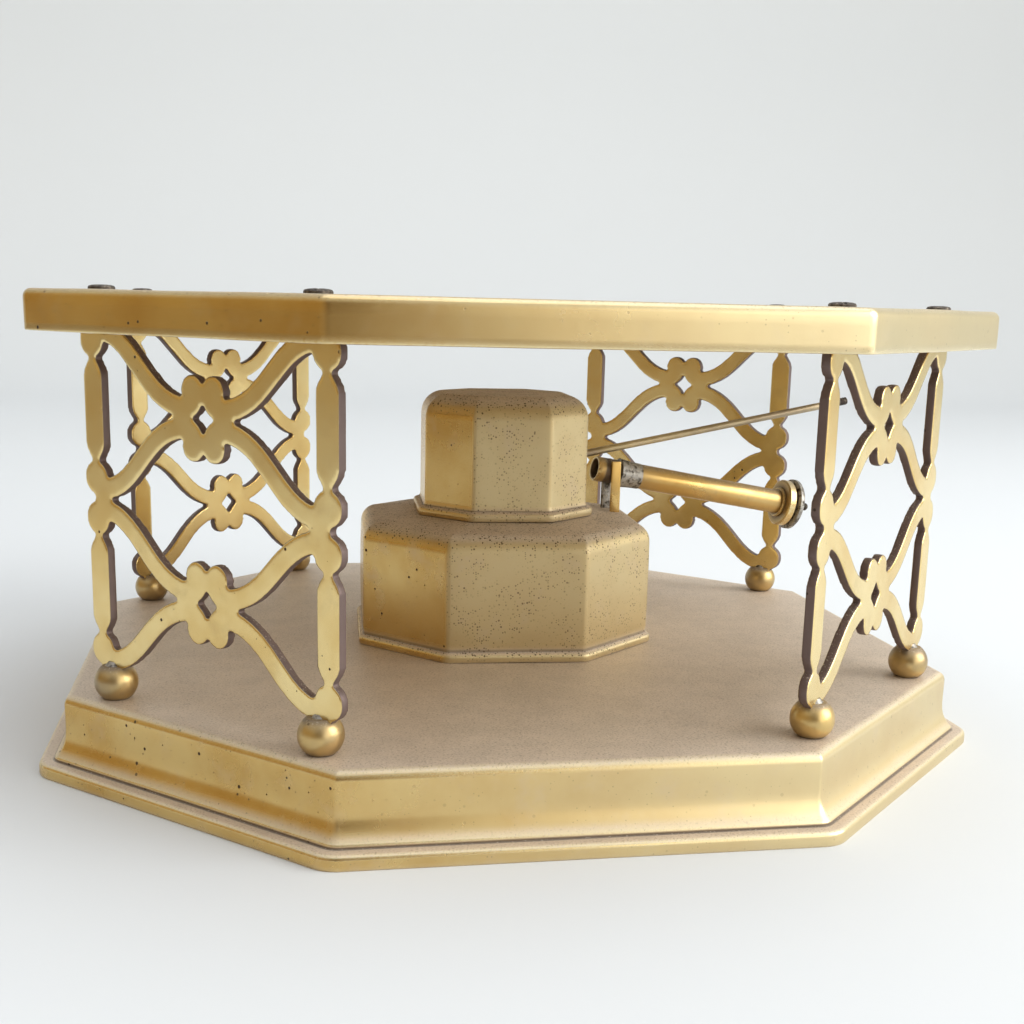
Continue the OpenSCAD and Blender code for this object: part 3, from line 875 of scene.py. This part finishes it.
END_TREE = corner_tree()
ball_low, ball_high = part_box("ball_front_right_left")
other_low, other_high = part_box("ball_front_right_right")
one_foot = (ball_low + ball_high) / 2
other_foot = (other_low + other_high) / 2
FOOT_REACH = ((one_foot + other_foot) / 2).to_2d().length
FOOT_SPREAD = (one_foot - other_foot).to_2d().length / 2
BALL_H = (ball_high.z - ball_low.z) / MM
BALL_R = (ball_high.x - ball_low.x) / 2 / MM
UP = Vector((0, 0, 1))
ORIGIN = Vector((0, 0, 0))

ball_steps = 16
ball_profile = []
for i in range(ball_steps + 1):
    lift = -1 + 2 * i / ball_steps
    bulge = math.sqrt(1 - (0.8 * lift) ** 2)
    # Painted shade: the ball darkens where it sits on the base, a painted contact shadow, and a
    # little at its top under the panel.
    darkening = 0.9 * max(0, -lift - 0.75) * 4 + 0.5 * max(0, lift - 0.8) * 5
    ball_profile.append(((lift + 1) / 2 * BALL_H, BALL_R * bulge, min(darkening, 1), 0))
ball_nodes = [f"ball_{corner}_{side}" for corner in CORNERS for side in ("left", "right")]
at_the_ends(
    "ball_feet",
    lathe(ball_profile, ORIGIN, UP, 40),
    BASE_TOP,
    math.tau,
    "ball_brass",
    ball_nodes,
    uneven=0.05 * MM,
)

fillet_profile = [
    (BALL_H - 1.6, 3.6, 0.6, 0),
    (BALL_H - 0.9, 3.3, 0.2, 0),
    (BALL_H - 0.3, 2.6, 0, 0),
    (BALL_H + 0.4, 2.0, 0, 0),
    (BALL_H + 1.0, 1.5, 0.2, 0),
]
at_the_ends(
    "foot_solder",
    lathe(fillet_profile, ORIGIN, UP, 24),
    BASE_TOP,
    math.tau,
    "solder",
    [],
    uneven=0.5 * MM,
)


def screw_head(height, radius, slot_width, flip=1):
    """A flat-domed head, cut along both sides of its slot, with the strip between sunk."""
    profile = [
        (0, radius),
        (height * 0.45, radius),
        (height * 0.75, radius * 0.92),
        (height * 0.92, radius * 0.7),
        (height, radius * 0.35),
    ]
    head = lathe([(flip * z, r, 0, 0) for z, r in profile], ORIGIN, UP, 32)
    for cut in (-slot_width / 2, slot_width / 2):
        bmesh.ops.bisect_plane(
            head,
            geom=head.verts[:] + head.edges[:] + head.faces[:],
            plane_co=(0, cut * MM, 0),
            plane_no=(0, 1, 0),
        )
    floor = flip * height * 0.45 * MM
    for vertex in head.verts:
        inside = abs(vertex.co.y) < (slot_width / 2 - 0.01) * MM
        if inside and abs(vertex.co.z) > abs(floor):
            vertex.co.z = floor
    return head


screw_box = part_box("top_screws")
SCREW_RISE = (screw_box[1].z - STAND_TOP) / MM
HEAD_R = 3.1
SLOT_W = 0.9
at_the_ends(
    "top_screw_heads",
    screw_head(SCREW_RISE, HEAD_R, SLOT_W),
    STAND_TOP,
    math.tau,
    "screw_steel",
    ["top_screws"],
)
at_the_ends(
    "base_screw_heads",
    screw_head(SCREW_RISE, HEAD_R, SLOT_W, flip=-1),
    BASE_TOP - SHEET * MM,
    math.tau,
    "screw_steel",
    ["base_screws"],
)
print("feet at", round(FOOT_REACH / MM, 1), "mm, spread", round(FOOT_SPREAD / MM, 1), "mm")

# %% [markdown]
# ### Lathed fittings of the handle, the rod and the burner

# %% Handle

TUBE_WALL = 0.8
STEP_OUT = 1
tube_r = stretch_along("handle_tube", HANDLE_START, HANDLE_WAY)[2] / MM
tube_l = HANDLE_LENGTH / MM
bore_r = tube_r - TUBE_WALL
# Painted shade in the bore, and a dark band near the start that is painted shadow with some
# tarnish; edge rubbing with a painted highlight on the mouth's rim.
tube_profile = (
    [(0.3, bore_r, 1, 0), (0, bore_r + 0.2, 0.5, 0.4), (0, tube_r - 0.2, 0.2, 0.8)]
    + [(0.3, tube_r, 0, 0.5), (2, tube_r, 0.3, 0), (3, tube_r, 1, 0), (9, tube_r, 1, 0)]
    + [(16, tube_r, 0.3, 0), (22, tube_r, 0, 0), (tube_l * 0.5, tube_r, 0, 0)]
    + [(tube_l - 3, tube_r, 0.2, 0), (tube_l, tube_r, 0.6, 0), (tube_l, bore_r, 1, 0)]
    + [(tube_l * 0.5, bore_r, 1, 0), (2, bore_r, 1, 0)]
)


def open_lathe(profile, start, along, steps=48):
    """A turned ring or tube: the profile closes on itself instead of on the axis."""
    bm = lathe(profile, start, along, steps)
    hubs = [v for v in bm.verts if len(v.link_faces) == steps]
    bmesh.ops.delete(bm, geom=hubs, context="VERTS")
    edges = [e for e in bm.edges if e.is_boundary]
    bmesh.ops.bridge_loops(bm, edges=edges)
    return bm


finish_piece(
    "handle_tube_turned",
    open_lathe(tube_profile, HANDLE_START, HANDLE_WAY),
    "fitting_brass",
    "burner",
    ["handle_tube"],
    uneven=0.04 * MM,
)

collar_from, collar_to, collar_r = (
    v / MM for v in stretch_along("handle_collar", HANDLE_START, HANDLE_WAY)
)
step_r = tube_r + STEP_OUT
# Painted shade on the inner faces and in the step; edge rubbing with a painted highlight on the
# outer corners.
collar_profile = (
    [(collar_from, tube_r - 0.1, 1, 0), (collar_from, step_r - 0.3, 0.3, 0.3)]
    + [(collar_from + 0.3, step_r, 0, 0.7), (collar_from + 0.9, step_r, 0.8, 0)]
    + [(collar_from + 1, collar_r - 0.5, 0.4, 0), (collar_from + 1.4, collar_r, 0, 0.9)]
    + [(collar_to - 0.3, collar_r, 0.1, 0.4), (collar_to, collar_r - 0.3, 0.7, 0)]
    + [(collar_to, tube_r - 0.1, 1, 0)]
)
finish_piece(
    "handle_collar_turned",
    open_lathe(collar_profile, HANDLE_START, HANDLE_WAY),
    "fitting_brass",
    "burner",
    ["handle_collar"],
    uneven=0.03 * MM,
)

disc_from, disc_to, disc_r = (
    v / MM for v in stretch_along("handle_disc", HANDLE_START, HANDLE_WAY)
)
disc_profile = (
    [(disc_from, disc_r - 2, 1, 0), (disc_from + 0.6, disc_r - 1.9, 1, 0)]
    + [(disc_from + 0.65, disc_r - 0.6, 0.4, 0), (disc_from + 1.1, disc_r, 0, 0.8)]
    + [(disc_to - 0.5, disc_r, 0, 0.5), (disc_to, disc_r - 0.5, 0, 0.8)]
    + [(disc_to, disc_r * 0.6, 0.2, 0), (disc_to - 0.2, disc_r * 0.3, 0.5, 0)]
)
finish_piece(
    "handle_disc_turned",
    lathe(disc_profile, HANDLE_START, HANDLE_WAY),
    "solder",
    "burner",
    ["handle_disc"],
    uneven=0.03 * MM,
)

stud_from, stud_to, stud_r = (
    v / MM for v in stretch_along("handle_stud", HANDLE_START, HANDLE_WAY)
)
stud_profile = [(stud_from - 0.4, stud_r, 1, 0)]
turns = 8
for i in range(turns):
    at = stud_from + (stud_to - stud_from - 0.5) * i / turns
    stud_profile += [(at, stud_r - 0.18, 0.6, 0), (at + 0.3, stud_r, 0, 0.5)]
stud_profile += [(stud_to - 0.4, stud_r - 0.1, 0, 0), (stud_to, stud_r - 0.5, 0, 0)]
finish_piece(
    "handle_stud_turned",
    lathe(stud_profile, HANDLE_START, HANDLE_WAY, 24),
    "screw_steel",
    "burner",
    ["handle_stud"],
)

solder_from, solder_to, solder_r = (
    v / MM for v in stretch_along("handle_solder", HANDLE_START, HANDLE_WAY)
)
solder_steps = 12
solder_profile = [(solder_from, tube_r - 0.2, 1, 0)]
for i in range(solder_steps + 1):
    share = i / solder_steps
    swell = (solder_r - tube_r) * (1 - share) ** 2 + 0.06
    at = solder_from + 0.2 + (solder_to - solder_from) * share
    solder_profile.append((at, tube_r + swell, 0, 0))
solder_profile.append((solder_to + 0.4, tube_r - 0.2, 1, 0))
finish_piece(
    "handle_solder_wiped",
    open_lathe(solder_profile, HANDLE_START, HANDLE_WAY),
    "solder",
    "burner",
    ["handle_solder"],
    uneven=0.16 * MM,
)


def softened(name, node, body, material, bevel, uneven=0.0):
    """A CAD node, merged, with its edges rounded and its faces cut into triangles."""
    bm = bmesh.new()
    bm.from_mesh(nodes[node].data)
    bmesh.ops.remove_doubles(bm, verts=bm.verts, dist=0.002 * MM)
    bmesh.ops.dissolve_limit(
        bm, angle_limit=math.radians(2), verts=bm.verts[:], edges=bm.edges[:]
    )
    sharp = [e for e in bm.edges if e.is_manifold and e.calc_face_angle(0) > math.radians(30)]
    bmesh.ops.bevel(
        bm, geom=sharp, offset=bevel, offset_type="OFFSET", segments=3, profile=0.5, affect="EDGES"
    )
    bmesh.ops.triangulate(bm, faces=bm.faces[:])
    return finish_piece(name, bm, material, body, [node], uneven=uneven)


STRIP_EDGE_R = 0.22 * MM
STRIP_WAVE = 0.05 * MM
BOTTOM_EDGE_R = 0.15 * MM
softened(
    "bracket_strip_front", "bracket_front", "burner", "fitting_brass", STRIP_EDGE_R, STRIP_WAVE
)
softened("bracket_strip_back", "bracket_back", "burner", "solder", STRIP_EDGE_R, STRIP_WAVE)
softened("reservoir_bottom_plate", "reservoir_bottom", "burner", "burner_brass", BOTTOM_EDGE_R)
print("handle fittings made; disc", round(2 * disc_r, 1), "mm across")

# %% [markdown]
# The lifting rod is drawn wire, soldered to the cap in a small boss. Its far end carries the thread
# of the lost knob, which a geometry nodes tree winds as a ridge round a core.

# %% Lifting rod and its thread

rod_r = stretch_along("lifting_rod", ROD_START, ROD_WAY)[2] / MM
rod_l = ROD_LENGTH / MM
# Painted shade where the rod leaves the boss and at its far end, and a little rubbing with a
# painted highlight along it.
rod_profile = [(0, rod_r, 0.6, 0), (2, rod_r, 0.3, 0)]
rod_profile += [(rod_l * share, rod_r, 0, 0.1) for share in (0.1, 0.3, 0.5, 0.7, 0.9)]
rod_profile += [(rod_l, rod_r * 0.98, 0.3, 0)]
finish_piece(
    "lifting_rod_drawn",
    lathe(rod_profile, ROD_START, ROD_WAY, 24),
    "rod_brass",
    "cap",
    ["lifting_rod"],
    uneven=0.03 * MM,
)

boss_from, boss_to, boss_r = (v / MM for v in stretch_along("rod_boss", ROD_START, ROD_WAY))
boss_profile = (
    [(boss_from, boss_r + 0.5, 0.6, 0), (boss_from + 0.8, boss_r + 0.1, 0.1, 0)]
    + [(boss_to - 1.2, boss_r - 0.2, 0, 0), (boss_to - 0.4, boss_r - 0.8, 0, 0)]
    + [(boss_to, rod_r, 0.8, 0)]
)
finish_piece(
    "rod_boss_soldered",
    lathe(boss_profile, ROD_START, ROD_WAY, 32),
    "solder",
    "cap",
    ["rod_boss"],
    uneven=0.2 * MM,
)


def thread_tree():
    """Geometry nodes: a screw thread as a spiral ridge, along Z."""
    tree = bpy.data.node_groups.new("thread", "GeometryNodeTree")
    inputs = [
        ("Turns", "NodeSocketFloat"),
        ("Radius", "NodeSocketFloat"),
        ("Length", "NodeSocketFloat"),
        ("Ridge", "NodeSocketFloat"),
        ("Material", "NodeSocketMaterial"),
    ]
    for name, kind in inputs:
        tree.interface.new_socket(name, in_out="INPUT", socket_type=kind)
    tree.interface.new_socket("Geometry", in_out="OUTPUT", socket_type="NodeSocketGeometry")
    g = Graph(tree)
    entry = tree.nodes.new("NodeGroupInput")
    given = {name: Wire(g, entry.outputs[name]) for name, _ in inputs}
    spiral = g.node(
        "GeometryNodeCurveSpiral",
        {},
        {
            "Resolution": 20,
            "Rotations": given["Turns"],
            "Start Radius": given["Radius"],
            "End Radius": given["Radius"],
            "Height": given["Length"],
        },
    )
    section = g.node(
        "GeometryNodeCurvePrimitiveCircle", {}, {"Resolution": 6, "Radius": given["Ridge"]}
    )
    ridge = g.node(
        "GeometryNodeCurveToMesh",
        {},
        {"Curve": spiral, "Profile Curve": section, "Fill Caps": True},
    )
    core = g.node(
        "GeometryNodeMeshCylinder",
        {},
        {"Vertices": 20, "Radius": given["Radius"], "Depth": given["Length"]},
    )
    lifted = g.node(
        "GeometryNodeTransform",
        {},
        {
            "Geometry": core,
            "Translation": g.node("ShaderNodeCombineXYZ", {}, {"Z": given["Length"] * 0.5}),
        },
    )
    joined = tree.nodes.new("GeometryNodeJoinGeometry")
    tree.links.new(ridge.socket, joined.inputs[0])
    tree.links.new(lifted.socket, joined.inputs[0])
    real = g.node("GeometryNodeRealizeInstances", {}, {0: Wire(g, joined.outputs[0])})
    painted = g.node(
        "GeometryNodeSetMaterial", {}, {"Geometry": real, "Material": given["Material"]}
    )
    leave = tree.nodes.new("NodeGroupOutput")
    tree.links.new(painted.socket, leave.inputs[0])
    return tree


tip_from, tip_to, tip_r = stretch_along("rod_tip", ROD_START, ROD_WAY)
RIDGE = 0.2 * MM
THREAD_PITCH = 0.8 * MM
thread = grown(
    "rod_thread",
    thread_tree(),
    {
        "Turns": (tip_to - tip_from) / THREAD_PITCH,
        "Radius": tip_r - RIDGE,
        "Length": tip_to - tip_from - RIDGE,
        "Ridge": RIDGE,
        "Material": MATERIALS["screw_steel"],
    },
)
rod_aim = ROD_WAY.to_track_quat("Z", "Y").to_matrix().to_4x4()
thread.transform(Matrix.Translation(ROD_START + ROD_WAY * tip_from) @ rod_aim)
finish_piece("rod_thread", thread, "screw_steel", "cap", ["rod_tip"])
print("rod", round(rod_l, 1), "mm long, thread", round((tip_to - tip_from) / MM, 1), "mm")

# %% [markdown]
# The fittings in the reservoir's top are turned on one upright axis: a ring, a flanged tube in it,
# and the cotton plug that stands out of the tube.

# %% Wick tube, collar and wick

PIPE_WALL = 0.95
tube_low, tube_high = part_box("wick_tube")
wick_centre = (tube_low + tube_high) / 2
WICK_AXIS = Vector((wick_centre.x, wick_centre.y, 0))


def upright(node, profile, name, material, steps=48, ring=True, uneven=0.03 * MM):
    """A turned fitting on the burner's own axis; heights are above the reservoir's top."""
    start = WICK_AXIS + UP * TANK_TOP
    make = open_lathe if ring else lathe
    return finish_piece(
        name, make(profile, start, UP, steps), material, "burner", [node], uneven=uneven
    )


collar_low, collar_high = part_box("burner_collar")
ring_r = (collar_high.x - collar_low.x) / 2 / MM
ring_h = (collar_high.z - TANK_TOP) / MM
wick_low_box, wick_high_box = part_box("wick")
wick_r = (wick_high_box.x - wick_low_box.x) / 2 / MM
flange_r = (tube_high.x - tube_low.x) / 2 / MM
pipe_r = wick_r + PIPE_WALL
pipe_h = (tube_high.z - TANK_TOP) / MM
# Painted shade below the reservoir's top and in the ring's bore; edge rubbing with a painted
# highlight on its upper edge.
upright(
    "burner_collar",
    [(-0.4, ring_r, 1, 0), (0.1, ring_r, 0.6, 0), (ring_h - 0.5, ring_r, 0, 0.3)]
    + [(ring_h, ring_r - 0.5, 0, 0.9), (ring_h, pipe_r + 0.3, 0.4, 0), (-0.4, pipe_r + 0.3, 1, 0)],
    "burner_collar_turned",
    "fitting_brass",
)
# Painted shade where the tube stands in the ring and in its bore; edge rubbing with a painted
# highlight on the flange and the mouth.
upright(
    "wick_tube",
    [(-6, pipe_r, 0.6, 0), (ring_h, pipe_r, 0.8, 0), (ring_h, flange_r - 0.2, 0.3, 0)]
    + [(ring_h + 0.2, flange_r, 0, 0.8), (ring_h + 1, flange_r, 0, 0.5)]
    + [(ring_h + 1.2, flange_r - 0.2, 0, 0.4), (ring_h + 1.2, pipe_r, 0.8, 0)]
    + [(pipe_h * 0.6, pipe_r, 0, 0), (pipe_h - 0.2, pipe_r, 0.3, 0.5)]
    + [(pipe_h, pipe_r - 0.2, 0.5, 0.5), (pipe_h, wick_r + 0.1, 1, 0), (-6, wick_r + 0.1, 1, 0)],
    "wick_tube_turned",
    "fitting_brass",
)
wick_h = (wick_high_box.z - TANK_TOP) / MM
upright(
    "wick",
    [(-8, wick_r - 0.2, 0, 0), (pipe_h - 1, wick_r - 0.1, 0, 0), (pipe_h + 0.3, wick_r, 0, 0)]
    + [(wick_h - 0.8, wick_r - 0.2, 0, 0), (wick_h, wick_r - 1.2, 0, 0)],
    "wick_cotton_plug",
    "wick_cotton",
    ring=False,
    uneven=0.3 * MM,
)
print("burner fittings made; collar", round(2 * ring_r, 1), "mm across")

# %% [markdown]
# ## Sweep, light and camera
#
# A pale sweep carries the stand. Painted shade makes it dimmer far out on the left and in front,
# where only the brass mirrors it.

# %% Sweep


def sweep(width, front, back, height, radius):
    """A pale floor that curves up into a back wall, with painted shade that dims it towards the
    left and the front.
    """
    path = [(front, 0)]
    steps = 16
    for i in range(steps + 1):
        angle = math.radians(90 * i / steps)
        path.append((back - radius + radius * math.sin(angle), radius - radius * math.cos(angle)))
    path.append((back, height))
    bm = bmesh.new()
    rows = [[bm.verts.new((side * width / 2, y, z)) for side in (-1, 1)] for y, z in path]
    for near, far in zip(rows, rows[1:]):
        bm.faces.new((near[0], near[1], far[1], far[0]))
    mesh = bpy.data.meshes.new("sweep")
    bm.to_mesh(mesh)
    bm.free()
    mesh.shade_smooth()
    g = Graph.material("sweep_paper")
    here = g.node("ShaderNodeTexCoord", output="Object")
    tone = g.node("ShaderNodeTexNoise", {}, {"Vector": here, "Scale": 1.2, "Detail": 2.0})
    across = g.node("ShaderNodeSeparateXYZ", {}, {0: here}, output="X")
    along = g.node("ShaderNodeSeparateXYZ", {}, {0: here}, output="Y")
    lit = across.step(-3.2 * WIDTH, -1.7 * WIDTH) * along.step(-2.9 * WIDTH, -1.3 * WIDTH)
    lit = lit.math("MAXIMUM", along.step(0.5 * WIDTH, 3 * WIDTH))
    paper = g.blend(tone, (0.75, 0.785, 0.82, 1), (0.73, 0.765, 0.80, 1))
    # Painted shade: far out on the left and in front, the paper turns a dim warm brown.
    colour = g.blend(lit, (0.33, 0.28, 0.21, 1), paper)
    mesh.materials.append(g.surface(colour, 0.7, 0.0, tone, bump=0.0))
    floor = bpy.data.objects.new("sweep", mesh)
    scene.collection.objects.link(floor)
    return floor


sweep(WIDTH * 30, -WIDTH * 10, WIDTH * 7, WIDTH * 12, WIDTH * 2)
print("sweep", round(WIDTH * 30, 1), "m wide, its wall", round(WIDTH * 7, 2), "m behind the stand")

# %% [markdown]
# The brass mirrors its surroundings, so the room is a gradient by direction. Two soft boxes, a
# window on the right and a ceiling, light the floor and the level surfaces.

# %% Light


def room_light():
    """The room as a gradient by direction: warm and dim on the left and in front, brightest half
    way to the right, less bright at the far right, and pale overhead."""
    world = bpy.data.worlds.new("room")
    scene.world = world
    world.use_nodes = True
    world.node_tree.nodes.clear()
    g = Graph(world.node_tree)
    way = g.node("ShaderNodeTexCoord", output="Generated")
    right = g.node("ShaderNodeSeparateXYZ", {}, {0: way}, output="X")
    up = g.node("ShaderNodeSeparateXYZ", {}, {0: way}, output="Z")
    left = g.blend(right.step(-0.9, -0.15), (0.60, 0.44, 0.20, 1), (0.24, 0.18, 0.11, 1))
    bright = g.blend(right.step(0.55, 0.9), (2.7, 2.66, 2.45, 1), (1.2, 1.16, 1.0, 1))
    sides = g.blend(right.step(0.04, 0.42), left, bright)
    colour = g.blend(up.step(0.25, 0.9) * 0.8, sides, (1.0, 1.04, 1.10, 1))
    strength = g.node("ShaderNodeBackground", {}, {"Color": colour, "Strength": 0.8})
    g.node("ShaderNodeOutputWorld", {}, {"Surface": strength})


def soft_box(name, place, target, size, power, tint):
    """A square area light that looks at a point."""
    light = bpy.data.lights.new(name, "AREA")
    light.shape = "SQUARE"
    light.size = size
    light.energy = power
    light.color = tint
    lamp = bpy.data.objects.new(name, light)
    lamp.location = place
    lamp.rotation_euler = (Vector(target) - Vector(place)).to_track_quat("-Z", "Y").to_euler()
    scene.collection.objects.link(lamp)


room_light()
middle = Vector((0, 0, STAND_TOP / 2))
soft_box("window", WIDTH * Vector((4.6, -2.0, 2.6)), middle, WIDTH * 4, 13, (1, 0.99, 0.97))
soft_box("ceiling", WIDTH * Vector((0.4, 0.6, 6.0)), middle, WIDTH * 6, 7, (0.97, 0.98, 1))
print("light: a room gradient and", len(bpy.data.lights), "soft boxes")

# %% [markdown]
# The camera stands in front, a little to the left and above the top plate, and looks slightly
# down. Its distance is given in widths of the stand and its angles in degrees.

# %% Camera

LENS = 47.468
LENS_SHIFT = 0.078
YAW, PITCH, ROLL = (math.radians(a) for a in (10.669, 11.990, 1.398))
CAMERA_PLACE = WIDTH * Vector((-0.277, -1.5667, 0.4696))

camera_data = bpy.data.cameras.new("camera")
camera_data.sensor_width = 36
camera_data.lens = LENS
camera_data.shift_y = LENS_SHIFT
camera = bpy.data.objects.new("camera", camera_data)
turned = Matrix.Rotation(-YAW, 4, "Z")
tilted = Matrix.Rotation(math.pi / 2 - PITCH, 4, "X")
rolled = Matrix.Rotation(ROLL, 4, "Z")
camera.matrix_world = Matrix.Translation(CAMERA_PLACE) @ (turned @ tilted) @ rolled
scene.collection.objects.link(camera)
scene.camera = camera
scene.view_settings.view_transform = "Standard"
print("camera at", [round(v, 3) for v in CAMERA_PLACE], "m")
